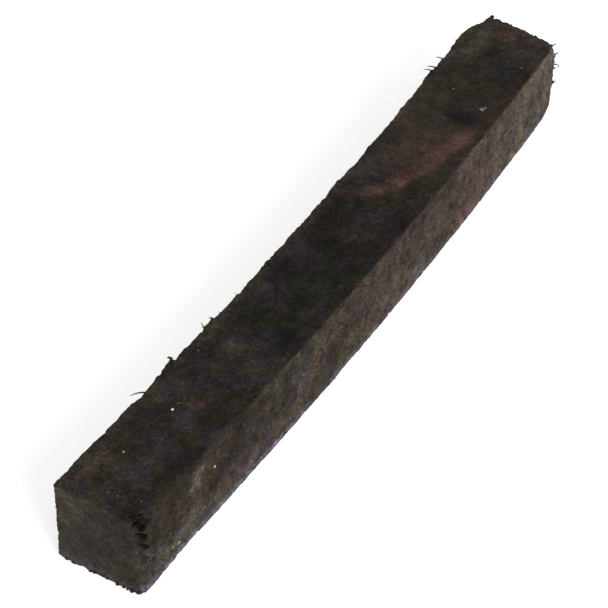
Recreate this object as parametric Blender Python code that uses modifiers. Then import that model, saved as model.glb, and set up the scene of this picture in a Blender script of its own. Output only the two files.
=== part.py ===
"""Charcoal stick: one rough-sawn stick of square section, lying on its underside.

The stick lies along X with its underside on Z = 0 and its origin at the bottom centre of its
bounding box. It is bowed sideways, with its middle towards -Y, and the underside stays flat.
The -X end is cut nearly square and the +X end is cut askew. The two corners at +X are worn and
broken, and the upright edge at -X, -Y has a torn notch.
"""

import math

import bmesh
import bpy
from mathutils import Vector

MM = 0.001

# Driving dimensions
LENGTH = 126.6 * MM
NEAR_WIDTH = 13.45 * MM                # at -X
FAR_WIDTH = 15.0 * MM                  # at +X
HEIGHT = 14.1 * MM
BOW = 1.62 * MM                        # how far the middle stands off the line between the two ends
NEAR_CUT_SKEW = math.radians(-1.4)     # each end's cut, off square, counted before the stick is bowed
FAR_CUT_SKEW = math.radians(12.0)
SLICES = 32                            # steps along the stick, so that the bow is smooth

# Wear along every edge
EDGE_WEAR = 0.4 * MM
EDGE_WEAR_SEGMENTS = 2
EDGE_LIMIT = math.radians(30.0)

# Worn upright corner at +X, +Y: how far the worn facet reaches along and across the stick's top
WORN_ALONG = 6.0 * MM
WORN_ACROSS = 2.1 * MM
WORN_LEAN = math.radians(6.0)          # the facet fades out towards the underside

# Broken bottom corner at +X, -Y: how far the break reaches along, across and up the stick
BROKEN_ALONG = 2.4 * MM
BROKEN_ACROSS = 1.6 * MM
BROKEN_UP = 1.8 * MM

# Torn notch in the upright edge at -X, -Y: an upright spoon-shaped scoop
NOTCH_RADIUS = 1.3 * MM
NOTCH_HALF_HEIGHT = 5.0 * MM
NOTCH_CENTRE_HEIGHT = 7.6 * MM
NOTCH_SEGMENTS = 16

CUTTER = 20.0 * MM                     # side of the cubes that cut the corners, larger than the stick

# Material
COLOUR = (0.031, 0.025, 0.021, 1.0)
ROUGHNESS = 0.9


def clear_scene():
    for obj in list(bpy.data.objects):
        bpy.data.objects.remove(obj, do_unlink=True)


def new_collection(name):
    collection = bpy.data.collections.new(name)
    bpy.context.scene.collection.children.link(collection)
    return collection


def link_mesh(name, bm, collection):
    """Turn a bmesh into a named object in a collection."""
    mesh = bpy.data.meshes.new(name)
    bm.to_mesh(mesh)
    bm.free()
    obj = bpy.data.objects.new(name, mesh)
    collection.objects.link(obj)
    return obj


def charcoal_material():
    material = bpy.data.materials.new("charcoal")
    material.use_nodes = True
    shader = material.node_tree.nodes["Principled BSDF"]
    shader.inputs["Base Color"].default_value = COLOUR
    shader.inputs["Roughness"].default_value = ROUGHNESS
    shader.inputs["Metallic"].default_value = 0.0
    material.diffuse_color = COLOUR
    return material


def width_at(x):
    """The sawn width at this x, which grows evenly from the -X end to the +X end."""
    share = 0.5 + x / LENGTH
    return NEAR_WIDTH + share * (FAR_WIDTH - NEAR_WIDTH)


def skew_at(x):
    """How far a cut across the stick at this x leans along the stick, for each unit across it."""
    share = 0.5 + x / LENGTH
    return (1.0 - share) * math.tan(NEAR_CUT_SKEW) + share * math.tan(FAR_CUT_SKEW)


def sawn_blank(collection):
    """A straight bar from a cube, sliced along X, with its taper and its two end cuts."""
    bm = bmesh.new()
    bmesh.ops.create_cube(bm, size=1.0)
    bmesh.ops.scale(bm, vec=(LENGTH, 1.0, HEIGHT), verts=bm.verts)
    bmesh.ops.translate(bm, vec=(0.0, 0.0, HEIGHT / 2.0), verts=bm.verts)
    long_edges = [e for e in bm.edges if abs(e.verts[0].co.x - e.verts[1].co.x) > LENGTH / 2.0]
    bmesh.ops.subdivide_edges(bm, edges=long_edges, cuts=SLICES - 1, use_grid_fill=True)
    for vert in bm.verts:
        x = vert.co.x
        vert.co.y *= width_at(x)
        vert.co.x = x + skew_at(x) * vert.co.y
    return link_mesh("charcoal_stick", bm, collection)


def corner_point(x, side, z):
    """A point on the blank's upright corner edge at this x; side is +1 for +Y and -1 for -Y."""
    y = side * width_at(x) / 2.0
    return Vector((x + skew_at(x) * y, y, z))


def cutting_cube(name, points, corner, collection):
    """A cube with one face on the plane of three points, on the side where the lost corner was."""
    a, b, c = points
    normal = (b - a).cross(c - a).normalized()
    if normal.dot(corner - a) < 0.0:
        normal.negate()
    bm = bmesh.new()
    bmesh.ops.create_cube(bm, size=CUTTER)
    cutter = link_mesh(name, bm, collection)
    cutter.rotation_mode = "QUATERNION"
    cutter.rotation_quaternion = normal.to_track_quat("Z", "Y")
    cutter.location = (a + b + c) / 3.0 + normal * CUTTER / 2.0
    return cutter


def worn_corner_cutter(collection):
    top = corner_point(LENGTH / 2.0, 1.0, HEIGHT)
    back = top - Vector((WORN_ALONG, 0.0, 0.0))
    inward = top - Vector((skew_at(LENGTH / 2.0) * WORN_ACROSS, WORN_ACROSS, 0.0))
    outward = (inward - back).cross(Vector((0.0, 0.0, -1.0))).normalized()
    foot = back - Vector((0.0, 0.0, HEIGHT)) + outward * HEIGHT * math.tan(WORN_LEAN)
    return cutting_cube("worn_corner_cutter", (back, foot, inward), top, collection)


def broken_corner_cutter(collection):
    tip = corner_point(LENGTH / 2.0, -1.0, 0.0)
    back = tip - Vector((BROKEN_ALONG, 0.0, 0.0))
    inward = tip + Vector((skew_at(LENGTH / 2.0) * BROKEN_ACROSS, BROKEN_ACROSS, 0.0))
    up = tip + Vector((0.0, 0.0, BROKEN_UP))
    return cutting_cube("broken_corner_cutter", (back, inward, up), tip, collection)


def notch_cutter(collection):
    bm = bmesh.new()
    bmesh.ops.create_uvsphere(bm, u_segments=NOTCH_SEGMENTS, v_segments=NOTCH_SEGMENTS, radius=1.0)
    bmesh.ops.scale(bm, vec=(NOTCH_RADIUS, NOTCH_RADIUS, NOTCH_HALF_HEIGHT), verts=bm.verts)
    cutter = link_mesh("notch_cutter", bm, collection)
    cutter.location = corner_point(-LENGTH / 2.0, -1.0, NOTCH_CENTRE_HEIGHT)
    return cutter


def wear_edges(stick):
    bevel = stick.modifiers.new("edge_wear", "BEVEL")
    bevel.width = EDGE_WEAR
    bevel.segments = EDGE_WEAR_SEGMENTS
    bevel.limit_method = "ANGLE"
    bevel.angle_limit = EDGE_LIMIT


def cut(stick, cutter):
    cutter.hide_render = True
    cutter.display_type = "WIRE"
    boolean = stick.modifiers.new("cut_" + cutter.name, "BOOLEAN")
    boolean.operation = "DIFFERENCE"
    boolean.solver = "EXACT"
    boolean.object = cutter


def bow(stick):
    """Bend the stick in plan, ends towards +Y, into an arc that stands off its chord by BOW."""
    bend = stick.modifiers.new("bow", "SIMPLE_DEFORM")
    bend.deform_method = "BEND"
    bend.deform_axis = "Z"
    bend.angle = 8.0 * BOW / LENGTH


def stand_on_origin(stick, others):
    """Move everything so that the origin is at the bottom centre of the stick's bounding box."""
    bpy.context.view_layer.update()
    evaluated = stick.evaluated_get(bpy.context.evaluated_depsgraph_get())
    corners = [Vector(corner) for corner in evaluated.bound_box]
    low = [min(corner[axis] for corner in corners) for axis in range(3)]
    high = [max(corner[axis] for corner in corners) for axis in range(3)]
    shift = Vector(((low[0] + high[0]) / 2.0, (low[1] + high[1]) / 2.0, low[2]))
    for obj in (stick, *others):
        obj.location -= shift
    bpy.context.view_layer.update()


def main():
    clear_scene()
    parts = new_collection("charcoal_stick")
    cutters = new_collection("cutters")
    stick = sawn_blank(parts)
    stick.data.materials.append(charcoal_material())
    wear_edges(stick)
    tools = [worn_corner_cutter(cutters), broken_corner_cutter(cutters), notch_cutter(cutters)]
    for tool in tools:
        cut(stick, tool)
    bow(stick)
    stand_on_origin(stick, tools)


main()
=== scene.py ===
"""Looks of the charcoal stick: a rough-sawn, bowed, near-black stick on a pale floor.

Lengths are in millimetres until a mesh is written, which happens in metres. Places on the stick are
in the CAD's frame: X along the stick, Z up, and the origin at the bottom centre of its box.
"""

import math
import random

import bmesh
import bpy
import numpy as np
from mathutils import Matrix, Vector, noise


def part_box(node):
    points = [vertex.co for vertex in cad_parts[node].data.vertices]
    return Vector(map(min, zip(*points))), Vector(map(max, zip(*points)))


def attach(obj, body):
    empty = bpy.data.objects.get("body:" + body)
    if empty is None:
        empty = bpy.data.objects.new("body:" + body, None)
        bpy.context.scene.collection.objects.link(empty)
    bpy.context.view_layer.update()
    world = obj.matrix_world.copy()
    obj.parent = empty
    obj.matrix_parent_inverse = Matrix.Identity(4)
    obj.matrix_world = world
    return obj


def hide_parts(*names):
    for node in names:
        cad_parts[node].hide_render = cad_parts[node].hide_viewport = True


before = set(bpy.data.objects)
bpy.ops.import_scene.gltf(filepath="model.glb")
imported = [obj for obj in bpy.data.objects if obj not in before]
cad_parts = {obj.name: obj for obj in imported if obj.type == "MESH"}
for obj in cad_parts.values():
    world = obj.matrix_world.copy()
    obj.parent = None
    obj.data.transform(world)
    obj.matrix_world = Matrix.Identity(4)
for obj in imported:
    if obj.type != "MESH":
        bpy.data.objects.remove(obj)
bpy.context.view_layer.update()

MM = 0.001
NODE = "charcoal_stick"
SEED = 7

# The stick, as the CAD makes it. Skews and leans are slopes.
LENGTH = 126.6
NEAR_WIDTH, FAR_WIDTH = 13.45, 15.0
HEIGHT = (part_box(NODE)[1].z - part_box(NODE)[0].z) / MM
BOW = 1.62
NEAR_SKEW, FAR_SKEW = math.tan(math.radians(-1.4)), math.tan(math.radians(12.0))
WORN_ALONG, WORN_ACROSS, WORN_LEAN = 6.0, 2.1, math.tan(math.radians(6.0))
BROKEN_ALONG, BROKEN_ACROSS, BROKEN_UP = 2.4, 1.6, 1.8

# The far upper corner at -Y has a small worn facet
TIP_ALONG, TIP_ACROSS, TIP_DOWN = 2.4, 0.5, 1.4

# How softly each cut corner turns into the faces beside it
WORN_SOFT, BROKEN_SOFT, NEAR_SOFT, TIP_SOFT = 0.2, 0.08, 0.22, 0.1

# How many cells each face has, and the cell size in the band along each edge and at both ends
CELLS_ALONG, CELLS_ACROSS, CELLS_UP = 370, 54, 70
EDGE_CELL, EDGE_BAND = 0.13, 0.9
END_CELL, END_BAND = 0.17, 3.6

# Radius of each long edge before it is chipped, named by its side
UPPER_RIGHT, UPPER_LEFT, LOWER_RIGHT, LOWER_LEFT = 0.16, 0.34, 0.45, 0.35

# Towards the near end the upper -Y edge is worn rounder: how far along, and by how much more
NEAR_WEAR, UPPER_RIGHT_WORN = 20.0, 0.6

# The far end's cut: how far along it is disturbed, and how far its middle, teeth and lumps stand out
FAR_REACH, DOME, TEETH, LUMPS = 2.5, 0.55, 0.42, 0.12

# The near end's foot: how far along and up it is ragged, and how far its teeth stand out
FOOT_ALONG, FOOT_UP, FOOT_TEETH = 1.0, 0.9, 0.3

# The near foot's flare towards -Y: how far along and up it reaches, and how far it stands out
FLARE_ALONG, FLARE_UP, FLARE = 14.0, 2.5, 0.6

# Relief on every face: how deep the warp, the saw marks, the pits and the nibbled edges are
WARP, SAW_MARKS, PITS, NIBBLES = 0.06, 0.05, 0.16, 0.11

# The grain runs askew through the stick
GRAIN = Vector((1.0, -0.46, 0.75)).normalized()

# The near upright edge at -Y is worn off at 45 degrees: how far that reaches along each face, low and high
NEAR_FOOT_WORN, NEAR_TOP_WORN = 0.45, 1.0

# Torn nicks in the near upright edge. For each: the level of its top, where it starts and ends going round
# the edge (minus is on the end face), how tall and how deep it is, and how dark the painted shade inside it
# is
NICKS = (
    (14.95, -1.5, 3.2, 2.1, 0.35, 0.8),
    (13.5, -0.9, 2.1, 1.6, 1.0, 1.0),
    (11.9, -0.3, 2.3, 1.7, 1.0, 1.0),
    (10.0, 0.2, 2.5, 1.4, 0.6, 0.75),
    (7.7, -0.2, 2.4, 1.9, 0.5, 0.55),
)
# How far those levels fall for each mm from the edge, on the side and on the end face
SIDE_FALL, END_FALL = 0.93, 0.55

# Where splinters have broken off the upper +Y edge: how far along, how deep the step, how long the slope
STEPS = (
    (-45.0, 0.2, 4.0),
    (-35.2, 0.4, 5.0),
    (-24.9, 0.3, 4.0),
    (-8.0, 0.2, 6.0),
    (12.0, 0.2, 5.0),
    (44.5, 0.3, 4.0),
)

# Small chips along the long edges: side of the edge, its level, how many, and their radius
CHIPS = (
    (1, HEIGHT, 75, 0.42),
    (-1, HEIGHT, 55, 0.2),
    (1, 0.0, 60, 0.4),
    (-1, 0.0, 70, 0.3),
)

# Steps along a strand and points round it, and how deep in the stick a fibre is rooted
STRAND_STEPS, STRAND_SIDES = 8, 6
ROOT_DEPTH = 0.3

# How many small fibres the foot, the far end and the long edges have, and how many specks of dust there are
FOOT_FIBRES, END_HAIRS, EDGE_HAIRS, SPECKS = 34, 46, 36, 40

# The reddish streak is a slab of the wood: a point that it passes through and its normal
STREAK_POINT, STREAK_NORMAL = (22.4, -3.3, 13.9), (0.20, 0.95, -0.25)

# Camera: turns in radians, distance and target in metres, lens and sensor in millimetres
AZIMUTH, ELEVATION, ROLL = math.radians(-61.0), math.radians(41.65), math.radians(1.3)
CAMERA_DISTANCE = 0.3425
CAMERA_TARGET = Vector((-0.00210, 0.00430, 0.00023))
LENS, SENSOR = 132.3, 36.0

# Stage: the floor in metres and how much it glows, and how strong the light from all round is
FLOOR_SIZE, FLOOR_GLOW, AMBIENT = 8.0, 0.55, 0.5


# ---------------------------------------------------------------- shape helpers

def width_at(x):
    return NEAR_WIDTH + (0.5 + x / LENGTH) * (FAR_WIDTH - NEAR_WIDTH)


def skew_at(x):
    return NEAR_SKEW + (0.5 + x / LENGTH) * (FAR_SKEW - NEAR_SKEW)


def fractal(points, size, octaves=3, seed=0, stretch=1.0):
    """Smooth noise of about -1 to 1. Its blobs are size across, and stretch times longer along the grain."""
    shift = Vector((17.3, 5.9, 31.7)) * seed
    out = np.empty(len(points))
    for i, point in enumerate(points):
        v = Vector(point)
        v -= GRAIN * v.dot(GRAIN) * (1.0 - 1.0 / stretch)
        out[i] = noise.fractal(v / size + shift, 1.0, 2.0, octaves)
    return out


def smooth_step(low, high, values):
    share = np.clip((values - low) / (high - low), 0.0, 1.0)
    return share * share * (3.0 - 2.0 * share)


def spaced(share, length, cell=EDGE_CELL, band=EDGE_BAND):
    """Turns evenly spaced shares of a side into places along it that crowd into a band at each end."""
    cells = len(np.unique(np.round(share, 6))) - 1
    edge = band / cell / cells
    middle = (length - 2 * band) / (1 - 2 * edge)
    place = np.where(share < edge, share * band / edge, band + (share - edge) * middle)
    return np.where(share > 1 - edge, length - (1 - share) * band / edge, place)


def unit_block():
    """The surface of a unit cube as six fine grids, welded along their edges."""
    bm = bmesh.new()
    quarter = math.pi / 2
    sides = {
        (0, 0, 1): (CELLS_ALONG, CELLS_ACROSS, Matrix.Identity(4)),
        (0, 0, -1): (CELLS_ALONG, CELLS_ACROSS, Matrix.Rotation(math.pi, 4, "X")),
        (0, -1, 0): (CELLS_ALONG, CELLS_UP, Matrix.Rotation(quarter, 4, "X")),
        (0, 1, 0): (CELLS_ALONG, CELLS_UP, Matrix.Rotation(-quarter, 4, "X")),
        (1, 0, 0): (CELLS_UP, CELLS_ACROSS, Matrix.Rotation(quarter, 4, "Y")),
        (-1, 0, 0): (CELLS_UP, CELLS_ACROSS, Matrix.Rotation(-quarter, 4, "Y")),
    }
    for side, (across, up, turn) in sides.items():
        place = Matrix.Translation(Vector(side) * 0.5) @ turn
        bmesh.ops.create_grid(bm, x_segments=across, y_segments=up, size=0.5, matrix=place)
    bmesh.ops.remove_doubles(bm, verts=bm.verts, dist=1e-5)
    return bm


def read_vectors(mesh, name):
    flat = np.empty(len(mesh.vertices) * 3)
    mesh.vertices.foreach_get(name, flat)
    return flat.reshape(-1, 3)


def set_positions(mesh, points):
    mesh.vertices.foreach_set("co", np.ascontiguousarray(points).ravel())
    mesh.update()


def add_layer(mesh, name, values):
    """A number for each vertex, which the material reads."""
    layer = mesh.attributes.new(name, "FLOAT", "POINT")
    layer.data.foreach_set("value", values.astype(np.float32))


def mesh_from(name, bm):
    mesh = bpy.data.meshes.new(name)
    bm.to_mesh(mesh)
    bm.free()
    return mesh


def link(name, mesh):
    """Shades a mesh smooth and puts it in the scene as an object."""
    mesh.polygons.foreach_set("use_smooth", np.ones(len(mesh.polygons), dtype=bool))
    obj = bpy.data.objects.new(name, mesh)
    bpy.context.scene.collection.objects.link(obj)
    return obj


# ---------------------------------------------------------------- the sawn blank

def straight_block(unit):
    """The sawn blank before its ends are skewed and before it bows."""
    share = unit + 0.5
    x = spaced(share[:, 0], LENGTH, END_CELL, END_BAND) - LENGTH / 2
    y = (spaced(share[:, 1], NEAR_WIDTH) / NEAR_WIDTH - 0.5) * width_at(x)
    return np.stack([x, y, spaced(share[:, 2], HEIGHT)], 1)


def edge_radius(p):
    """The radius wanted at each point, blended from its four long edges."""
    right = 0.5 - p[:, 1] / width_at(p[:, 0])
    top = p[:, 2] / HEIGHT
    near = smooth_step(NEAR_WEAR - LENGTH / 2, -LENGTH / 2, p[:, 0])
    upper = right * (UPPER_RIGHT + near * UPPER_RIGHT_WORN) + (1 - right) * UPPER_LEFT
    lower = right * LOWER_RIGHT + (1 - right) * LOWER_LEFT
    return (top * upper + (1 - top) * lower) * (1.0 + 0.35 * fractal(p, 4.0, 2, seed=3))


def round_edges(p, radius):
    """Rounds every edge of the blank to the radius given at each point."""
    half_width = width_at(p[:, 0]) / 2
    half = np.stack([np.full(len(p), LENGTH / 2), half_width, np.full(len(p), HEIGHT / 2)], 1)
    centre = np.array([0.0, 0.0, HEIGHT / 2])
    q = p - centre
    inner = half - radius[:, None]
    over = np.maximum(np.abs(q) - inner, 0.0)
    reach = np.linalg.norm(over, axis=1)
    scale = radius / np.maximum(reach, 1e-9)
    moved = np.sign(q) * (np.minimum(np.abs(q), inner) + over * scale[:, None])
    on_edge = (over > 1e-9).sum(1) > 1
    return np.where(on_edge[:, None], moved, q) + centre


def edge_distance(p):
    """How far each point of the blank is from the nearest edge of the blank."""
    from_side = width_at(p[:, 0]) / 2 - np.abs(p[:, 1])
    from_level = HEIGHT / 2 - np.abs(p[:, 2] - HEIGHT / 2)
    from_end = LENGTH / 2 - np.abs(p[:, 0])
    ordered = np.sort(np.stack([from_side, from_level, from_end], 1), axis=1)
    return np.hypot(ordered[:, 0], ordered[:, 1])


# ---------------------------------------------------------------- wear and damage

def press_to_plane(p, point, normal, softness):
    """Pushes what stands beyond a plane back onto it, with a soft turn where the two meet."""
    beyond = (p - point) @ normal
    kept = -softness * np.log1p(np.exp(np.clip(-beyond / softness, -40, 40)))
    near = beyond > -6 * softness
    return p - normal * ((beyond - kept) * near)[:, None]


def corner(x, side, z):
    """A point on the skewed blank's long edge; side is 1 for +Y and -1 for -Y."""
    y = side * width_at(x) / 2
    return np.array([x + skew_at(x) * y, y, z])


def cut_corner(p, tip, points, softness):
    """Takes off the corner at tip along the plane of three points."""
    a, b, c = points
    normal = np.cross(b - a, c - a)
    normal /= np.linalg.norm(normal)
    if normal @ (tip - a) < 0:
        normal = -normal
    return press_to_plane(p, a, normal, softness)


def wear_corners(p):
    """The worn and broken corners. The far upper one at +Y and the far lower one are as in the CAD."""
    end = LENGTH / 2
    along, up = np.array([1.0, 0.0, 0.0]), np.array([0.0, 0.0, 1.0])
    across = np.array([skew_at(end), 1.0, 0.0])

    top = corner(end, 1, HEIGHT)
    back = top - along * WORN_ALONG
    inward = top - across * WORN_ACROSS
    outward = np.cross(inward - back, -up)
    foot = back - up * HEIGHT + outward / np.linalg.norm(outward) * HEIGHT * WORN_LEAN
    p = cut_corner(p, top, (back, foot, inward), WORN_SOFT)

    low = corner(end, -1, 0.0)
    points = (low - along * BROKEN_ALONG, low + across * BROKEN_ACROSS, low + up * BROKEN_UP)
    p = cut_corner(p, low, points, BROKEN_SOFT)

    near = corner(-end, -1, 0.0)
    beside = near + np.array([0.0, NEAR_FOOT_WORN, 0.0])
    above = near + along * NEAR_TOP_WORN + up * HEIGHT
    p = cut_corner(p, near, (near + along * NEAR_FOOT_WORN, beside, above), NEAR_SOFT)

    tip = corner(end, -1, HEIGHT)
    points = (tip - along * TIP_ALONG, tip + across * TIP_ACROSS, tip - up * TIP_DOWN)
    return cut_corner(p, tip, points, TIP_SOFT)


def fray_ends(p):
    """The far end bulges a little and has a ragged outline, and the near end is ragged at its foot."""
    share = p[:, 1] / (width_at(p[:, 0]) / 2)
    far = smooth_step(LENGTH / 2 - FAR_REACH, LENGTH / 2, p[:, 0])
    near = smooth_step(FOOT_ALONG - LENGTH / 2, -LENGTH / 2, p[:, 0])
    rim = np.exp(-edge_distance(p) / 0.8)
    drawn_out = p * np.array([0.3, 1.0, 1.0])
    teeth = fractal(drawn_out, 0.55, 2, seed=11)
    lumps = fractal(drawn_out, 1.8, 2, seed=12)
    out = p.copy()
    out[:, 0] += far * (DOME * (1 - share * share) + TEETH * rim * (teeth + 0.2) + LUMPS * lumps)
    foot = np.exp(-p[:, 2] / FOOT_UP)
    out[:, 0] -= near * foot * FOOT_TEETH * np.maximum(teeth + 0.3, 0.0)
    flare = np.exp(-p[:, 2] / FLARE_UP) * smooth_step(FLARE_ALONG - LENGTH / 2, -LENGTH / 2, p[:, 0])
    out[:, 1] -= flare * FLARE * np.maximum(-share, 0.0) ** 3
    lip = far * np.exp(-np.abs(p[:, 1] + width_at(p[:, 0]) / 2))
    out[:, :2] += lip[:, None] * np.array([0.25, -0.25])
    return out


def wave_upper_left(p):
    """The upper +Y edge is worn in long shallow waves, with smaller ones on them."""
    down = HEIGHT - p[:, 2]
    inward = width_at(p[:, 0]) / 2 - p[:, 1]
    weight = np.exp(-np.hypot(down, inward))
    along = np.stack([p[:, 0], np.zeros(len(p)), np.zeros(len(p))], 1)
    long_waves = 0.2 * fractal(along, 6.0, 2, seed=21)
    short_waves = 0.16 * fractal(along, 1.0, 3, seed=22)
    depth = long_waves + short_waves
    for place, size, length in STEPS:
        before = (p[:, 0] - place) / length
        depth += size * np.where((before < 0) & (before > -1), 1 + before, 0.0)
    out = p.copy()
    out[:, 1] += weight * (depth + 0.08)
    out[:, 2] += weight * 0.5 * (depth - 0.02)
    return out


def scoop(p, centre, radii, turn=Matrix.Identity(3)):
    """Pushes what lies inside an ellipsoid out to its surface, which leaves a hollow."""
    axes = np.array(turn)
    local = (p - centre) @ axes / np.array(radii)
    reach = np.linalg.norm(local, axis=1)
    inside = reach < 1.0
    out = p.copy()
    rim = local[inside] / np.maximum(reach[inside], 1e-6)[:, None]
    out[inside] = centre + (rim * np.array(radii)) @ axes.T
    return out


def chip_edges(p, chance):
    """Scoops the small chips out of the long edges."""
    for side, z, count, size in CHIPS:
        outward = np.array([0.0, side, math.copysign(1.0, z - HEIGHT / 2)]) / math.sqrt(2.0)
        for _ in range(count):
            x = chance.uniform(-LENGTH / 2, LENGTH / 2)
            radius = size * chance.uniform(0.6, 1.3)
            length = radius * chance.uniform(1.0, 3.5)
            centre = corner(x, side, z) + outward * radius * chance.uniform(0.35, 0.8)
            p = scoop(p, centre, (length, radius, radius))
    return p


def tear_notch(p):
    """Ragged nicks, one under another, in the near upright edge. Gives the points and the shade painted deep
    in each nick.
    """
    edge = corner(-LENGTH / 2, -1, 0.0)
    near = np.linalg.norm(p[:, :2] - edge[:2], axis=1) < 5.0
    part = p[near] - edge
    ragged = [0.16 * fractal(p[near], 0.6, 2, seed=31 + i) for i in range(2)]
    around = part[:, 0] - part[:, 1] + ragged[0]
    level = part[:, 2] + np.abs(around) * np.where(around > 0, SIDE_FALL, END_FALL) + ragged[1]
    upright = smooth_step(0.9, 0.3, np.minimum(part[:, 0], part[:, 1]))
    depth = np.zeros(len(part))
    dark = np.zeros(len(part))
    for top, start, stop, tall, deep, shade in NICKS:
        off = np.abs(around - (start + stop) / 2) / ((stop - start) / 2)
        reach = np.maximum(1.0 - off, 0.0)
        share = 1.0 - (top - level) / np.maximum(tall * reach ** 0.6, 1e-3)
        inside = smooth_step(0.0, 0.25, share) * smooth_step(1.25, 0.95, share)
        inside = inside * smooth_step(0.0, 0.3, reach) * upright
        depth = np.maximum(depth, deep * inside * (0.35 + 0.65 * np.clip(share, 0.0, 1.0)))
        # Painted shade: how dark this nick is made inside, where shade falls
        dark = np.maximum(dark, shade * inside)
    out = p.copy()
    out[near] += np.array([0.69, 0.72, 0.0]) * depth[:, None]
    painted_shade_in_notch = np.zeros(len(p))
    painted_shade_in_notch[near] = dark
    return out, painted_shade_in_notch


def bend(p):
    """Bows the stick in plan, as the CAD does, with its ends towards +Y."""
    radius = LENGTH * LENGTH / (8.0 * BOW)
    turn = p[:, 0] / radius
    x = (radius - p[:, 1]) * np.sin(turn)
    y = p[:, 1] * np.cos(turn) + radius * (1 - np.cos(turn))
    return np.stack([x, y, p[:, 2]], 1)


def stand_on_origin(p):
    """Puts the box's bottom centre on the origin, with nothing below the surface it lies on."""
    low, high = p.min(0), p.max(0)
    out = p - np.array([(low[0] + high[0]) / 2, (low[1] + high[1]) / 2, 0.0])
    out[:, 2] = np.maximum(out[:, 2], 0.0)
    return out


def build_stick():
    """The stick, with three numbers at each vertex for its material. Wear is 1 at chipped edges,
    left_rim is 1 on the +Y edges of the top and of the near end, and the painted notch shade is 1 deep in the
    notch."""
    mesh = mesh_from("sawn_stick", unit_block())
    p = straight_block(read_vectors(mesh, "co"))
    rim = np.exp(-edge_distance(p) / 0.3)
    down_or_back = np.minimum(HEIGHT - p[:, 2], p[:, 0] + LENGTH / 2)
    left = np.hypot(width_at(p[:, 0]) / 2 - p[:, 1], down_or_back)
    p = round_edges(p, edge_radius(p))
    p = wave_upper_left(fray_ends(p))
    p[:, 0] += skew_at(p[:, 0]) * p[:, 1]
    p = wear_corners(p)
    unchipped = p
    p = chip_edges(p, random.Random(SEED))
    chipped = np.linalg.norm(p - unchipped, axis=1)
    p, painted_shade_in_notch = tear_notch(p)
    set_positions(mesh, p)
    normals = read_vectors(mesh, "normal")
    saw = WARP * fractal(p, 9.0, 2, seed=1) + SAW_MARKS * fractal(p, 1.1, 3, seed=2, stretch=1.4)
    pits = -PITS * smooth_step(0.28, 0.6, fractal(p, 0.9, 2, seed=4, stretch=2.0))
    nibbled = NIBBLES * rim * fractal(p, 0.5, 2, seed=5)
    p = stand_on_origin(bend(p + normals * (saw + pits + nibbled)[:, None]))
    set_positions(mesh, p * MM)
    add_layer(mesh, "wear", np.clip(rim * 0.6 + chipped / 0.25, 0.0, 1.0))
    add_layer(mesh, "left_rim", np.exp(-(left / 1.3) ** 2))
    # The shade painted into the notch, by which the material darkens its colour
    add_layer(mesh, "notch_painted_shade", painted_shade_in_notch)
    return link("sawn_stick", mesh)


# ---------------------------------------------------------------- fibres and grains

class Surface:
    """The finished stick's surface, for placing things on it."""

    def __init__(self, stick):
        self.points = read_vectors(stick.data, "co") / MM
        self.normals = read_vectors(stick.data, "normal")

    def near(self, x, y, z):
        """The surface point that is closest to a place, and its normal."""
        i = np.argmin(np.linalg.norm(self.points - np.array([x, y, z]), axis=1))
        return Vector(self.points[i]), Vector(self.normals[i])


def strand(bm, path, widths, flatness=0.6):
    """A closed, tapered, flattened thread through the points of a path, with a width at each."""
    rings = []
    for i, (point, width) in enumerate(zip(path, widths)):
        ahead = path[min(i + 1, len(path) - 1)] - path[max(i - 1, 0)]
        across = ahead.cross(Vector((0.3, 0.2, 1.0))).normalized()
        up = across.cross(ahead).normalized()
        ring = []
        for k in range(STRAND_SIDES):
            turn = 2 * math.pi * k / STRAND_SIDES
            offset = across * math.cos(turn) * width / 2 + up * math.sin(turn) * width / 2 * flatness
            place = point + offset
            place.z = max(place.z, 0.0)
            ring.append(bm.verts.new(place * MM))
        rings.append(ring)
    for ring, following in zip(rings, rings[1:]):
        for k in range(STRAND_SIDES):
            after = (k + 1) % STRAND_SIDES
            bm.faces.new((ring[k], ring[after], following[after], following[k]))
    bm.faces.new(reversed(rings[0]))
    bm.faces.new(rings[-1])


def curve(start, middle, end):
    """Points on the smooth arc from start to end that is drawn towards middle."""
    points = []
    for i in range(STRAND_STEPS + 1):
        t = i / STRAND_STEPS
        points.append(start * (1 - t) ** 2 + middle * 2 * t * (1 - t) + end * t * t)
    return points


def fibre(bm, root, reach, width, curl):
    """One torn fibre, rooted inside the stick, that tapers and curls towards its tip."""
    start = root - reach.normalized() * ROOT_DEPTH
    end = root + reach
    path = curve(start, start.lerp(end, 0.55) + curl, end)
    widths = [width * (1.0 - 0.7 * (i / STRAND_STEPS) ** 1.5) for i in range(STRAND_STEPS + 1)]
    strand(bm, path, widths)


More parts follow.
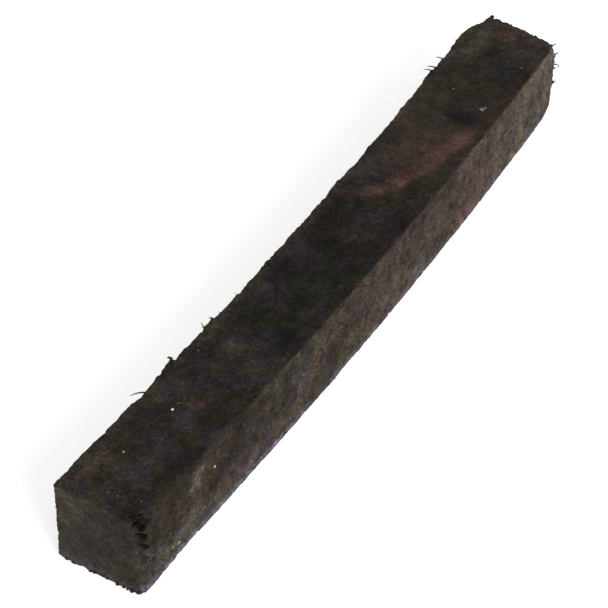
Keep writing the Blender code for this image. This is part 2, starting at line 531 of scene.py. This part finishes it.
# The torn fibres that stand out: a place near the root, how far it reaches, its width and its curl
LONG_FIBRES = (
    ((-43.5, 9.0, 15.5), (-1.6, 1.25, 0.1), 0.34, (0.1, 0.15, 0.3)),
    ((-35.6, 9.0, 15.5), (-0.2, 0.45, 0.1), 0.55, (0.1, 0.0, 0.1)),
    ((-35.0, 9.0, 15.5), (-0.3, 0.35, 0.2), 0.5, (0.0, 0.1, 0.0)),
    ((-34.2, 9.0, 15.5), (0.1, 0.35, 0.2), 0.45, (0.1, 0.1, 0.0)),
    ((-28.3, 9.0, 15.5), (0.1, 0.5, 0.7), 0.3, (0.1, 0.1, 0.0)),
    ((-24.9, 9.0, 15.5), (-0.2, 0.3, 0.1), 0.4, (0.0, 0.0, 0.1)),
    ((44.5, 9.5, 15.5), (-0.6, 0.9, 0.2), 0.36, (0.2, 0.0, 0.1)),
    ((46.5, 9.5, 15.5), (-0.9, 1.0, 0.4), 0.4, (-0.2, 0.2, 0.2)),
    ((48.4, 9.5, 15.5), (-0.5, 0.9, 0.3), 0.36, (0.1, 0.1, 0.1)),
    ((65.0, -9.5, 9.6), (0.5, -0.6, -0.6), 0.4, (0.35, -0.35, 0.5)),
    ((65.0, -9.5, 9.3), (0.35, -0.35, 0.0), 0.5, (0.1, -0.1, 0.1)),
    ((65.0, -9.5, 5.6), (0.3, -0.35, 0.3), 0.6, (0.1, -0.1, -0.1)),
    ((65.0, -9.5, 5.0), (0.2, -0.2, 0.2), 0.7, (0.1, -0.1, -0.1)),
    ((65.0, -9.5, 13.6), (0.4, -0.5, 0.3), 0.5, (0.1, -0.1, 0.1)),
    ((64.5, -9.5, 15.5), (0.3, -0.6, 0.4), 0.4, (0.1, -0.1, 0.1)),
    ((66.0, 5.8, 15.0), (0.3, 0.0, 0.0), 0.9, (0.1, 0.1, 0.0)),
)


def add_foot_fibres(bm, surface, chance):
    """Stubby fibres that make the foot of the near end ragged."""
    for _ in range(FOOT_FIBRES):
        root, _ = surface.near(-66.0, chance.uniform(-6.4, 6.2), chance.uniform(0.1, 0.5))
        size = chance.uniform(0.1, 0.22) * (1.5 - 0.09 * (root.y + 6.4))
        reach = Vector((-1.0, chance.uniform(-0.6, 0.6), chance.uniform(-0.15, 0.25))) * size
        fibre(bm, root, reach, chance.uniform(0.5, 0.95), Vector((0.0, chance.uniform(-0.1, 0.1), 0.05)))


def add_end_hairs(bm, surface, chance):
    """Short hairs round the far end."""
    for _ in range(END_HAIRS):
        side = chance.choice((-1, 1))
        level = chance.uniform(0.4, 13.6)
        across = chance.uniform(-7.0, 6.0)
        place = (65.0, side * 9.5, level)
        if chance.random() >= 0.5:
            place = (67.0, across, chance.choice((-2.0, 16.0)))
        root, normal = surface.near(*place)
        reach = Vector((1.0, chance.uniform(-0.5, 0.5), chance.uniform(-0.5, 0.5)))
        reach *= chance.uniform(0.15, 0.4)
        fibre(bm, root, reach, chance.uniform(0.12, 0.24), normal * 0.08)


def add_edge_hairs(bm, surface, chance):
    """Tiny hairs along the long edges."""
    for _ in range(EDGE_HAIRS):
        side, level = chance.choice(((1, 16.0), (1, 16.0), (1, -1.0), (-1, -1.0)))
        root, normal = surface.near(chance.uniform(-62.0, 61.0), side * 9.5, level)
        reach = Vector((chance.uniform(-0.6, 0.3), side * chance.uniform(0.3, 1.0), chance.uniform(0.0, 0.4)))
        fibre(bm, root, reach * chance.uniform(0.2, 0.45), chance.uniform(0.08, 0.16), normal * 0.08)


def build_fibres(surface):
    chance = random.Random(SEED + 1)
    bm = bmesh.new()
    for place, reach, width, curl in LONG_FIBRES:
        root, _ = surface.near(*place)
        fibre(bm, root, Vector(reach), width, Vector(curl))
    add_foot_fibres(bm, surface, chance)
    add_end_hairs(bm, surface, chance)
    add_edge_hairs(bm, surface, chance)
    return link("torn_fibres", mesh_from("torn_fibres", bm))


# Slivers in and round the notch: places near both ends, how far the middle stands out, and width
SLIVERS = (
    ((-65.0, -4.5, 14.6), (-62.8, -6.6, 14.6), (-0.15, -0.15, 0.1), 0.34),
    ((-66.0, -5.4, 12.5), (-62.4, -8.0, 11.0), (-0.3, -0.3, 0.0), 0.3),
    ((-61.2, -8.0, 12.0), (-60.9, -8.0, 10.7), (-0.05, -0.2, 0.1), 0.26),
    ((-66.0, -5.4, 2.9), (-66.0, -5.9, 1.8), (-0.2, -0.2, 0.0), 0.22),
)


def build_splinters(surface):
    bm = bmesh.new()
    for start, end, outward, width in SLIVERS:
        low, _ = surface.near(*start)
        high, _ = surface.near(*end)
        swell = [math.sin(math.pi * i / STRAND_STEPS) for i in range(STRAND_STEPS + 1)]
        widths = [width * (0.4 + 0.6 * share) for share in swell]
        strand(bm, curve(low, low.lerp(high, 0.5) + Vector(outward), high), widths, flatness=0.8)
    return link("notch_splinters", mesh_from("notch_splinters", bm))


# The large pale grains: place, length, width and thickness, and how pale it is
LARGE_GRAINS = (
    ((-54.1, 2.55, 13.9), (0.30, 0.26, 0.18), 0.8),
    ((-43.7, 1.2, 13.9), (0.48, 0.4, 0.24), 1.0),
    ((-31.9, 4.5, 13.9), (0.2, 0.16, 0.1), 0.4),
    ((-61.2, 0.4, 13.9), (0.34, 0.24, 0.12), 0.16),
    ((-61.2, -1.1, 13.9), (0.24, 0.24, 0.12), 0.25),
    ((-60.3, -4.3, 13.9), (0.24, 0.2, 0.12), 0.25),
    ((52.9, -4.9, 13.9), (0.55, 0.28, 0.16), 0.2),
    ((41.9, 2.0, 13.9), (0.42, 0.36, 0.18), 0.17),
    ((39.4, -4.35, 13.9), (0.95, 0.85, 0.28), 0.3),
    ((40.1, -4.75, 13.9), (0.5, 0.4, 0.26), 0.22),
    ((-42.3, 1.3, 13.9), (0.6, 0.34, 0.15), 0.1),
    ((-46.5, -6.85, 9.6), (0.4, 0.3, 0.42), 0.6),
    ((-56.6, -6.4, 2.8), (0.26, 0.2, 0.5), 0.34),
    ((-54.9, -6.5, 2.4), (0.3, 0.2, 0.6), 0.42),
)


def grain(bm, place, size, turn, paleness, chance):
    """One irregular grain: a ball pulled out of round at each vertex."""
    layer = bm.verts.layers.float.get("paleness") or bm.verts.layers.float.new("paleness")
    ball = bmesh.ops.create_icosphere(bm, subdivisions=2, radius=0.5)["verts"]
    for vert in ball:
        vert[layer] = paleness
        scale = 1.0 + chance.uniform(-0.16, 0.16)
        local = Vector(vert.co[i] * size[i] * scale for i in range(3))
        vert.co = (place + turn @ local) * MM


def add_dust(bm, surface, chance):
    """Fine dust on the top and on both sides."""
    for _ in range(SPECKS):
        x = chance.uniform(-62.0, 62.0)
        on_top = (x, chance.uniform(-6.0, 6.0), 13.9)
        on_right = (x, -8.0, chance.uniform(0.5, 13.0))
        on_left = (x, 8.0, chance.uniform(0.5, 13.0))
        point, normal = surface.near(*chance.choice((on_top, on_right, on_left)))
        width = chance.uniform(0.06, 0.13)
        size = (width * chance.uniform(1.0, 1.8), width, width)
        paleness = chance.uniform(0.08, 0.3)
        grain(bm, point + normal * width * 0.2, size, Matrix.Identity(3), paleness, chance)


def build_grains(surface):
    chance = random.Random(SEED + 3)
    bm = bmesh.new()
    for place, size, paleness in LARGE_GRAINS:
        point, normal = surface.near(*place)
        turn = Matrix.Rotation(chance.uniform(0, 3), 3, normal)
        grain(bm, point + normal * min(size) * 0.25, size, turn, paleness, chance)
    add_dust(bm, surface, chance)
    return link("dust_grains", mesh_from("dust_grains", bm))


# ---------------------------------------------------------------- materials

class Graph:
    """Builds one material. Each input is a plain number or colour, or another node's output."""

    def __init__(self, name):
        self.material = bpy.data.materials.new(name)
        self.material.use_nodes = True
        self.tree = self.material.node_tree
        self.shader = self.tree.nodes["Principled BSDF"]
        coordinates = self.tree.nodes.new("ShaderNodeTexCoord")
        self.normal = self.split(coordinates.outputs["Normal"])
        self.place = self.vector("SCALE", coordinates.outputs["Object"], scale=1.0 / MM)
        self.x, self.y, self.z = self.split(self.place)

    def feed(self, socket, value):
        if isinstance(value, bpy.types.NodeSocket):
            self.tree.links.new(value, socket)
        else:
            socket.default_value = value

    def split(self, vector):
        node = self.tree.nodes.new("ShaderNodeSeparateXYZ")
        self.feed(node.inputs[0], vector)
        return node.outputs[0], node.outputs[1], node.outputs[2]

    def vector(self, operation, a, b=None, scale=None):
        node = self.tree.nodes.new("ShaderNodeVectorMath")
        node.operation = operation
        self.feed(node.inputs[0], a)
        if b is not None:
            self.feed(node.inputs[1], b)
        if scale is not None:
            self.feed(node.inputs["Scale"], scale)
        return node.outputs["Value" if operation in ("DOT_PRODUCT", "LENGTH") else "Vector"]

    def math(self, operation, a, b=0.0):
        node = self.tree.nodes.new("ShaderNodeMath")
        node.operation = operation
        self.feed(node.inputs[0], a)
        self.feed(node.inputs[1], b)
        return node.outputs[0]

    def product(self, first, *others):
        for other in others:
            first = self.math("MULTIPLY", first, other)
        return first

    def total(self, first, *others):
        for other in others:
            first = self.math("ADD", first, other)
        return first

    def rest(self, share):
        """What is left of 1."""
        return self.math("SUBTRACT", 1.0, share)

    def centred(self, value):
        return self.math("SUBTRACT", value, 0.5)

    def step(self, value, low, high, start=0.0, end=1.0):
        """Goes smoothly from start to end as value goes from low to high."""
        node = self.tree.nodes.new("ShaderNodeMapRange")
        node.interpolation_type = "SMOOTHSTEP"
        for socket, number in zip(node.inputs, (value, low, high, start, end)):
            self.feed(socket, number)
        return node.outputs[0]

    def grainwise(self, stretch):
        """The place on the stick, squeezed along the grain so that noise comes out stretched along it."""
        node = self.tree.nodes.new("ShaderNodeMapping")
        node.vector_type = "TEXTURE"
        node.inputs["Rotation"].default_value = GRAIN.to_track_quat("X", "Z").to_euler()
        node.inputs["Scale"].default_value = (stretch, 1.0, 1.0)
        self.feed(node.inputs["Vector"], self.place)
        return node.outputs[0]

    def skin(self, top, stretch):
        """As grainwise, but off the top the stretch is SIDE_SQUEEZE times as much."""
        return self.mix(top, self.grainwise(stretch * SIDE_SQUEEZE), self.grainwise(stretch))

    def noise(self, place, size, detail=3.0, roughness=0.55, shift=0.0):
        """Noise from 0 to 1 about 0.5, in blobs of the size given."""
        node = self.tree.nodes.new("ShaderNodeTexNoise")
        node.noise_dimensions = "4D"
        self.feed(node.inputs["Vector"], place)
        node.inputs["W"].default_value = shift
        node.inputs["Scale"].default_value = 1.0 / size
        node.inputs["Detail"].default_value = detail
        node.inputs["Roughness"].default_value = roughness
        return node.outputs[0]

    def swing(self, noise_value, amount):
        """Turns noise into a factor about 1 that swings by the amount each way at the noise's extremes."""
        return self.total(self.product(self.centred(noise_value), 2.0 * amount), 1.0)

    def soften(self, factor, loss):
        """Brings a factor closer to 1, by the share of its swing that is lost."""
        return self.total(self.product(self.math("SUBTRACT", factor, 1.0), self.rest(loss)), 1.0)

    def mix(self, share, a, b, blend="MIX"):
        node = self.tree.nodes.new("ShaderNodeMix")
        node.data_type = "RGBA"
        node.blend_type = blend
        node.clamp_factor = True
        sockets = {socket.identifier: socket for socket in node.inputs}
        self.feed(sockets["Factor_Float"], share)
        self.feed(sockets["A_Color"], a)
        self.feed(sockets["B_Color"], b)
        return [socket for socket in node.outputs if socket.identifier == "Result_Color"][0]

    def ramp(self, value, stops):
        """A colour for each value from 0 to 1, between the stops, which are pairs of value and colour."""
        node = self.tree.nodes.new("ShaderNodeValToRGB")
        elements = node.color_ramp.elements
        while len(elements) < len(stops):
            elements.new(0.5)
        for element, (place, colour) in zip(elements, stops):
            element.position = place
            element.color = (*colour, 1.0)
        self.feed(node.inputs[0], value)
        return node.outputs[0]

    def layer(self, name):
        node = self.tree.nodes.new("ShaderNodeAttribute")
        node.attribute_name = name
        return node.outputs["Fac"]

    def bump(self, height, depth):
        """Relief of the depth given, in millimetres, for heights from 0 to 1."""
        node = self.tree.nodes.new("ShaderNodeBump")
        node.inputs["Distance"].default_value = depth * MM
        self.feed(node.inputs["Height"], height)
        return node.outputs[0]


# Reflectance along the stick, from the near end to the far end, on the top and on the sides
TOP_COLOURS = (
    (0.0, (0.031, 0.024, 0.0175)),
    (0.12, (0.0268, 0.0217, 0.0168)),
    (0.25, (0.0230, 0.0195, 0.0168)),
    (0.42, (0.0176, 0.0145, 0.0117)),
    (0.57, (0.0198, 0.0162, 0.0134)),
    (0.66, (0.035, 0.0250, 0.0190)),
    (0.76, (0.029, 0.0215, 0.0160)),
    (0.90, (0.0262, 0.0195, 0.0142)),
    (0.96, (0.030, 0.0235, 0.0185)),
    (1.0, (0.050, 0.030, 0.023)),
)
SIDE_COLOURS = (
    (0.0, (0.0355, 0.0284, 0.0207)),
    (0.1, (0.0415, 0.0327, 0.0240)),
    (0.25, (0.0312, 0.0230, 0.0170)),
    (0.55, (0.0325, 0.0230, 0.0160)),
    (0.8, (0.0435, 0.0303, 0.0225)),
    (1.0, (0.070, 0.0545, 0.0420)),
)
END_COLOUR = (0.0262, 0.0226, 0.0172)

# Off the top, blotches, dashes and specks are stretched along the grain by this share of what they are on it
SIDE_SQUEEZE = 0.55

# Tints that the wood's colour drifts between
GREENISH = (0.91, 1.02, 0.78, 1.0)
PURPLISH = (0.97, 0.94, 1.30, 1.0)
BROWNISH = (1.34, 1.0, 0.96, 1.0)

# What the near part of the side is darkened by
NEAR_SHADE = (0.53, 0.46, 0.39, 1.0)

# Colours that are laid over the plain wood
RED = (0.069, 0.0378, 0.0325, 1.0)
RED_RIM = (0.085, 0.045, 0.035, 1.0)
PALE_WOOD = (0.12, 0.10, 0.085, 1.0)
# A pale bluish band along the foot: dust and painted bounce light from the floor
DUST_AND_PAINTED_BOUNCE = (0.082, 0.070, 0.090, 1.0)
PALE_FAR_TIP = (0.105, 0.092, 0.098, 1.0)
WORN_RIM = (0.043, 0.0335, 0.0215, 1.0)
PURPLE_DARK = (0.0160, 0.0145, 0.0200, 1.0)

# Torn fibres and splinters, and pale grains: each piece's darkest and lightest colour
FIBRE_COLOURS = (0.010, 0.009, 0.0065, 1.0), (0.034, 0.029, 0.021, 1.0)
GRAIN_COLOURS = (0.50, 0.44, 0.36, 1.0), (0.74, 0.70, 0.62, 1.0)

# Soft patches, each over the ones before it: place, radii, colour and how strong
PATCHES = (
    ((29.0, 3.4, 14.0), (18.0, 8.5, 2.0), (0.043, 0.0325, 0.0250, 1.0), 0.85),
    ((36.0, -2.6, 14.0), (2.6, 4.2, 2.0), (0.0120, 0.0112, 0.0140, 1.0), 0.85),
    ((39.0, 0.3, 14.0), (2.3, 1.8, 2.0), PURPLE_DARK, 0.7),
    ((50.8, -3.2, 14.0), (5.0, 3.6, 2.0), PURPLE_DARK, 0.7),
    ((55.6, 5.2, 14.0), (9.0, 3.8, 2.5), (0.052, 0.042, 0.033, 1.0), 0.75),
    ((59.7, 0.6, 14.0), (2.2, 1.5, 2.0), RED, 0.85),
    ((26.0, 0.3, 14.0), (2.0, 3.6, 2.0), RED, 0.6),
    ((-28.9, -0.2, 14.0), (1.9, 3.4, 2.0), (0.043, 0.033, 0.024, 1.0), 0.75),
    ((-55.5, 5.4, 14.0), (7.0, 2.6, 2.0), (0.056, 0.043, 0.032, 1.0), 0.75),
    ((20.5, -7.2, 14.0), (9.0, 2.0, 2.0), (0.020, 0.017, 0.0135, 1.0), 0.6),
    ((-56.5, -5.2, 14.1), (9.0, 1.8, 1.2), (0.0150, 0.0135, 0.0125, 1.0), 0.6),
    ((-64.0, -4.4, 14.2), (3.2, 2.2, 1.6), (0.0085, 0.0080, 0.0048, 1.0), 0.75),
    ((-63.2, -6.2, 8.0), (1.9, 2.0, 7.0), (0.0230, 0.0205, 0.0150, 1.0), 0.75),
    ((-63.4, -6.2, 3.0), (2.4, 2.0, 3.0), (0.0270, 0.0235, 0.0175, 1.0), 0.75),
    ((-60.6, -7.5, 3.0), (1.8, 2.0, 2.2), (0.062, 0.045, 0.038, 1.0), 0.6),
    ((-61.6, -7.5, 6.3), (1.5, 2.0, 1.9), (0.034, 0.028, 0.036, 1.0), 0.6),
    ((12.0, -8.0, 2.6), (4.5, 2.0, 2.2), (0.064, 0.052, 0.045, 1.0), 0.7),
    ((2.5, -8.0, 3.5), (5.0, 2.0, 3.5), (0.047, 0.036, 0.027, 1.0), 0.7),
    ((21.5, -8.0, 11.0), (3.5, 2.0, 2.6), (0.024, 0.0170, 0.0118, 1.0), 0.7),
    ((-15.0, -8.0, 5.0), (5.0, 2.0, 4.5), (0.0225, 0.0155, 0.0115, 1.0), 0.7),
)

# Mottled pale spots on the side near the notch: place, radii and how strong
PALE_SPOTS = (
    ((-50.8, -7.0, 11.0), (2.6, 2.0, 2.7), 0.55),
    ((-59.0, -7.0, 3.0), (3.0, 1.5, 2.0), 0.3),
)

# The paler upper corner of the far end
FAR_TIP = ((60.6, -7.2, 12.8), (2.6, 1.6, 2.4), 0.5)


def spot(g, centre, radii):
    """1 at the centre of a soft, ragged ellipsoid and 0 outside it."""
    away = g.vector("DIVIDE", g.vector("SUBTRACT", g.place, centre), radii)
    ragged = g.total(g.vector("LENGTH", away), g.centred(g.noise(g.place, 0.9, shift=2.0)))
    return g.step(ragged, 1.0, 0.35)


def faces(g):
    """Shares from 0 to 1: how much each place is on the top, on the near end and on a side."""
    top = g.step(g.normal[2], 0.45, 0.8)
    end = g.product(g.step(g.math("ABSOLUTE", g.normal[0]), 0.6, 0.85), g.step(g.x, 20.0, 0.0))
    side = g.rest(g.math("MAXIMUM", top, end))
    return top, end, side


def plain_wood(g, top, end):
    """The wood's colour along the stick. Its near end is lighter towards +Y, and lighter low down with
    painted bounce light from the floor.
    """
    along = g.step(g.x, -LENGTH / 2, LENGTH / 2)
    along.node.interpolation_type = "LINEAR"
    colour = g.mix(top, g.ramp(along, SIDE_COLOURS), g.ramp(along, TOP_COLOURS))
    # Painted bounce light: the near end is lighter low down, near the floor; it is also lighter towards +Y
    end_lift_and_painted_bounce = g.product(g.step(g.y, -1.0, 7.0, 1.0, 1.5), g.step(g.z, 3.0, 0.6, 1.0, 1.2))
    return g.mix(end, colour, g.vector("SCALE", END_COLOUR, scale=end_lift_and_painted_bounce))


def shade_share(g, side):
    """How shaded the sides are towards the near end, above a wandering line."""
    wander = g.product(g.centred(g.noise(g.place, 3.0, shift=13.0)), 6.0)
    height = g.product(g.step(g.total(g.z, wander), 2.6, 7.5), g.step(g.z, 9.5, 13.0, 1.0, 1.25))
    return g.product(g.product(g.step(g.x, -26.0, -44.0), side), height)


def tone_factor(g, top, end, side, blotches, dashes, specks):
    """How much lighter or darker than its colour each place is, about 1."""
    broad = g.noise(g.place, 5.5, 2.0, shift=17.0)
    fine = g.product(g.swing(blotches, 1.35), g.swing(dashes, 1.25), g.swing(specks, 1.25))
    tone = g.product(g.soften(fine, g.product(top, 0.24)), g.swing(broad, 0.95))
    pits = g.step(g.noise(g.grainwise(1.2), 0.55, 2.0, shift=7.0), 0.40, 0.30)
    tone = g.product(tone, g.rest(g.product(pits, 0.5)))
    round_streak = g.product(top, g.step(g.x, 12.0, 22.0), g.step(g.x, 50.0, 40.0))
    tone = g.soften(tone, g.total(g.product(end, 0.35), g.product(round_streak, 0.3)))
    # Painted bounce light: the sides are lighter towards the floor and a little darker high up
    painted_bounce_low = g.product(side, g.step(g.z, 8.0, 1.0, -0.07, 0.2))
    return g.product(tone, g.total(painted_bounce_low, 1.0))


def add_tints(g, colour, top, end, side):
    """Greenish, purplish and brown drifts, fainter on the near end and on the stick's far half."""
    hue = g.step(g.noise(g.place, 3.4, shift=5.0), 0.47, 0.53)
    brown = g.step(g.noise(g.place, 3.4, shift=8.0), 0.57, 0.62)
    tint = g.mix(g.product(brown, 0.8), g.mix(hue, GREENISH, PURPLISH), BROWNISH)
    tinted = g.mix(1.0, colour, tint, "MULTIPLY")
    less_on_side = g.product(side, g.step(g.x, -30.0, 24.0, 0.05, 0.55))
    less_on_top = g.product(top, g.step(g.x, 8.0, 24.0, 0.0, 0.35))
    return g.mix(g.rest(g.total(less_on_side, less_on_top, g.product(end, 0.4))), colour, tinted)


def add_bare_wood(g, colour, top, side, shade):
    """Thin pale threads and flecks, most on the sides where they aren't shaded."""
    bare = g.product(g.step(side, 0.0, 1.0, 0.12, 0.36), g.rest(g.product(shade, 0.6)))
    threads = g.math("ABSOLUTE", g.centred(g.noise(g.skin(top, 1.2), 0.9, 1.0, shift=10.0)))
    in_places = g.step(g.noise(g.place, 1.6, shift=11.0), 0.45, 0.62)
    threads = g.product(g.step(threads, 0.03, 0.005), in_places)
    colour = g.mix(g.product(threads, bare), colour, PALE_WOOD)
    flecks = g.step(g.noise(g.grainwise(1.2), 0.42, 1.0, shift=12.0), 0.66, 0.74)
    return g.mix(g.product(flecks, bare), colour, PALE_WOOD)


def streak_share(g):
    """How much of the reddish streak is at each place: strong on top, faint on the sides."""
    warp = g.centred(g.noise(g.grainwise(3.0), 1.6, shift=4.0))
    from_point = g.vector("SUBTRACT", g.place, STREAK_POINT)
    off = g.vector("DOT_PRODUCT", from_point, STREAK_NORMAL)
    tail = g.math("MAXIMUM", g.math("SUBTRACT", 17.0, g.x), 0.0)
    off = g.math("SUBTRACT", off, g.product(tail, tail, 0.075))
    off = g.total(off, g.product(warp, 2.4))
    main = g.step(g.math("ABSOLUTE", off), 2.0, 0.7)
    reach = g.product(g.step(g.x, 7.5, 14.0), g.step(g.x, 37.0, 31.5))
    depth = g.step(g.z, HEIGHT - 1.0, HEIGHT - 0.2, 0.3, 1.0)
    patchy = g.step(g.noise(g.grainwise(3.0), 1.4, shift=9.0), 0.3, 0.55, 0.5, 1.0)
    return g.product(main, reach, depth, patchy)


def add_patches(g, colour):
    """The worn rim at +Y, the patches, the reddish streak and the pale spots, in that order."""
    patchy = g.step(g.noise(g.place, 1.2, shift=14.0), 0.3, 0.6, 0.45, 0.9)
    colour = g.mix(g.product(g.layer("left_rim"), patchy), colour, WORN_RIM)
    for centre, radii, patch, strength in PATCHES:
        colour = g.mix(g.product(spot(g, centre, radii), strength), colour, patch)
    colour = g.mix(streak_share(g), colour, RED)
    mottle = g.step(g.noise(g.place, 0.7, 2.0, shift=15.0), 0.4, 0.65, 0.3, 1.0)
    for centre, radii, strength in PALE_SPOTS:
        colour = g.mix(g.product(spot(g, centre, radii), mottle, strength), colour, PALE_WOOD)
    centre, radii, strength = FAR_TIP
    return g.mix(g.product(spot(g, centre, radii), strength), colour, PALE_FAR_TIP)


def add_wear(g, colour):
    """The reddish rim of the far end, and pale wood where edges are chipped."""
    far_rim = g.product(g.layer("wear"), g.step(g.x, 60.0, 62.0))
    colour = g.mix(g.product(far_rim, 0.5), colour, RED_RIM)
    chips = g.product(g.layer("wear"), g.step(g.noise(g.place, 0.5, 2.0, shift=6.0), 0.45, 0.7))
    return g.mix(g.product(chips, 0.3), colour, PALE_WOOD)


def add_foot_dust_and_bounce_light(g, colour, top):
    """Dust and painted bounce light from the floor along the foot, up to a ragged line, most on the sides and
    near the notch.
    """
    height = g.total(g.z, g.product(g.centred(g.noise(g.place, 0.8, shift=16.0)), 2.4))
    foot = g.product(g.step(height, 1.7, 0.9), g.rest(top), g.step(g.x, -20.0, -32.0, 0.5, 1.0))
    on_sides = g.step(g.math("ABSOLUTE", g.normal[0]), 0.8, 0.5, 0.3, 0.8)
    return g.mix(g.product(foot, on_sides), colour, DUST_AND_PAINTED_BOUNCE)


def charcoal_material():
    g = Graph("charcoal")
    top, end, side = faces(g)
    shade = shade_share(g, side)
    blotches = g.noise(g.skin(top, 1.15), 2.4, 4.0, 0.62, shift=1.0)
    dashes = g.noise(g.skin(top, 1.25), 0.45, 2.0, 0.5, shift=2.0)
    specks = g.noise(g.skin(top, 1.0), 0.24, 2.0, 0.6, shift=3.0)

    colour = plain_wood(g, top, end)
    colour = g.mix(shade, colour, g.mix(1.0, colour, NEAR_SHADE, "MULTIPLY"))
    colour = add_tints(g, colour, top, end, side)
    colour = add_bare_wood(g, colour, top, side, shade)
    colour = add_patches(g, colour)
    colour = add_wear(g, colour)
    colour = add_foot_dust_and_bounce_light(g, colour, top)
    tone = tone_factor(g, top, end, side, blotches, dashes, specks)
    # Painted shade: the colour goes nearly black deep in the notch's nicks, where shade falls
    notch_shade_factor = g.step(g.layer("notch_painted_shade"), 0.05, 1.0, 1.0, 0.08)
    g.feed(g.shader.inputs["Base Color"], g.vector("SCALE", colour, scale=g.product(tone, notch_shade_factor)))

    g.feed(g.shader.inputs["Roughness"], g.step(blotches, 0.3, 0.7, 0.95, 0.8))
    g.shader.inputs["Specular IOR Level"].default_value = 0.1
    relief = g.total(g.product(dashes, 0.6), g.product(specks, 0.4))
    g.feed(g.shader.inputs["Normal"], g.bump(relief, 0.12))
    return g.material


def fibre_material():
    """Torn fibres and splinters: the same wood, lighter in places."""
    g = Graph("torn_fibre")
    shades = g.noise(g.place, 0.6, 2.0)
    g.feed(g.shader.inputs["Base Color"], g.mix(g.step(shades, 0.35, 0.65), *FIBRE_COLOURS))
    g.feed(g.shader.inputs["Roughness"], g.step(shades, 0.3, 0.7, 0.95, 0.75))
    g.shader.inputs["Specular IOR Level"].default_value = 0.15
    return g.material


def grain_material():
    """Pale grains, each dimmed by its own paleness."""
    g = Graph("pale_grain")
    shades = g.noise(g.place, 0.25, 2.0)
    colour = g.mix(g.step(shades, 0.35, 0.65), *GRAIN_COLOURS)
    g.feed(g.shader.inputs["Base Color"], g.vector("SCALE", colour, scale=g.layer("paleness")))
    g.feed(g.shader.inputs["Roughness"], g.step(shades, 0.3, 0.7, 0.9, 0.7))
    return g.material


# ---------------------------------------------------------------- stage

def build_floor():
    """A plain floor that glows a little, so that it stays close to white."""
    bpy.ops.mesh.primitive_plane_add(size=FLOOR_SIZE)
    floor = bpy.context.object
    floor.name = "floor"
    material = bpy.data.materials.new("floor")
    material.use_nodes = True
    shader = material.node_tree.nodes["Principled BSDF"]
    shader.inputs["Base Color"].default_value = (0.9, 0.9, 0.9, 1)
    shader.inputs["Roughness"].default_value = 0.9
    shader.inputs["Emission Color"].default_value = (1, 1, 1, 1)
    shader.inputs["Emission Strength"].default_value = FLOOR_GLOW
    floor.data.materials.append(material)


def area_light(name, azimuth, elevation, distance, size, watts):
    """A round soft light that faces the origin, placed by turns in degrees and metres."""
    a, e = math.radians(azimuth), math.radians(elevation)
    back = Vector((math.sin(a) * math.cos(e), -math.cos(a) * math.cos(e), math.sin(e)))
    light = bpy.data.lights.new(name, "AREA")
    light.shape = "DISK"
    light.size = size
    light.energy = watts
    lamp = bpy.data.objects.new(name, light)
    lamp.location = back * distance
    lamp.rotation_mode = "QUATERNION"
    lamp.rotation_quaternion = (-back).to_track_quat("-Z", "Y")
    bpy.context.scene.collection.objects.link(lamp)


def build_lights():
    area_light("key", azimuth=-25, elevation=27, distance=0.9, size=0.6, watts=7.2)
    world = bpy.data.worlds.new("studio")
    world.use_nodes = True
    tree = world.node_tree
    ambient = tree.nodes["Background"]
    ambient.inputs["Color"].default_value = (1, 1, 1, 1)
    ambient.inputs["Strength"].default_value = AMBIENT
    backdrop = tree.nodes.new("ShaderNodeBackground")       # what the camera sees beyond the floor
    backdrop.inputs["Color"].default_value = (1, 1, 1, 1)
    seen = tree.nodes.new("ShaderNodeLightPath")
    mixed = tree.nodes.new("ShaderNodeMixShader")
    tree.links.new(seen.outputs["Is Camera Ray"], mixed.inputs[0])
    tree.links.new(ambient.outputs[0], mixed.inputs[1])
    tree.links.new(backdrop.outputs[0], mixed.inputs[2])
    tree.links.new(mixed.outputs[0], tree.nodes["World Output"].inputs["Surface"])
    bpy.context.scene.world = world
    bpy.context.scene.view_settings.view_transform = "Standard"


def build_camera():
    level = math.cos(ELEVATION)
    back = Vector((math.sin(AZIMUTH) * level, -math.cos(AZIMUTH) * level, math.sin(ELEVATION)))
    data = bpy.data.cameras.new("camera")
    data.lens = LENS
    data.sensor_width = SENSOR
    camera = bpy.data.objects.new("camera", data)
    camera.location = CAMERA_TARGET + back * CAMERA_DISTANCE
    camera.rotation_mode = "QUATERNION"
    upright = (-back).to_track_quat("-Z", "Y")
    camera.rotation_quaternion = upright @ Matrix.Rotation(ROLL, 3, "Z").to_quaternion()
    bpy.context.scene.collection.objects.link(camera)
    bpy.context.scene.camera = camera


def main():
    build_camera()
    build_lights()
    build_floor()
    stick = build_stick()
    surface = Surface(stick)
    wood, torn, pale = charcoal_material(), fibre_material(), grain_material()
    pieces = (
        (stick, wood, "charcoal"),
        (build_fibres(surface), torn, "charcoal"),
        (build_splinters(surface), torn, "charcoal"),
        (build_grains(surface), pale, "pale_grain"),
    )
    for piece, material, slot in pieces:
        piece.data.materials.append(material)
        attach(piece, "root")
    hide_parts(NODE)


main()
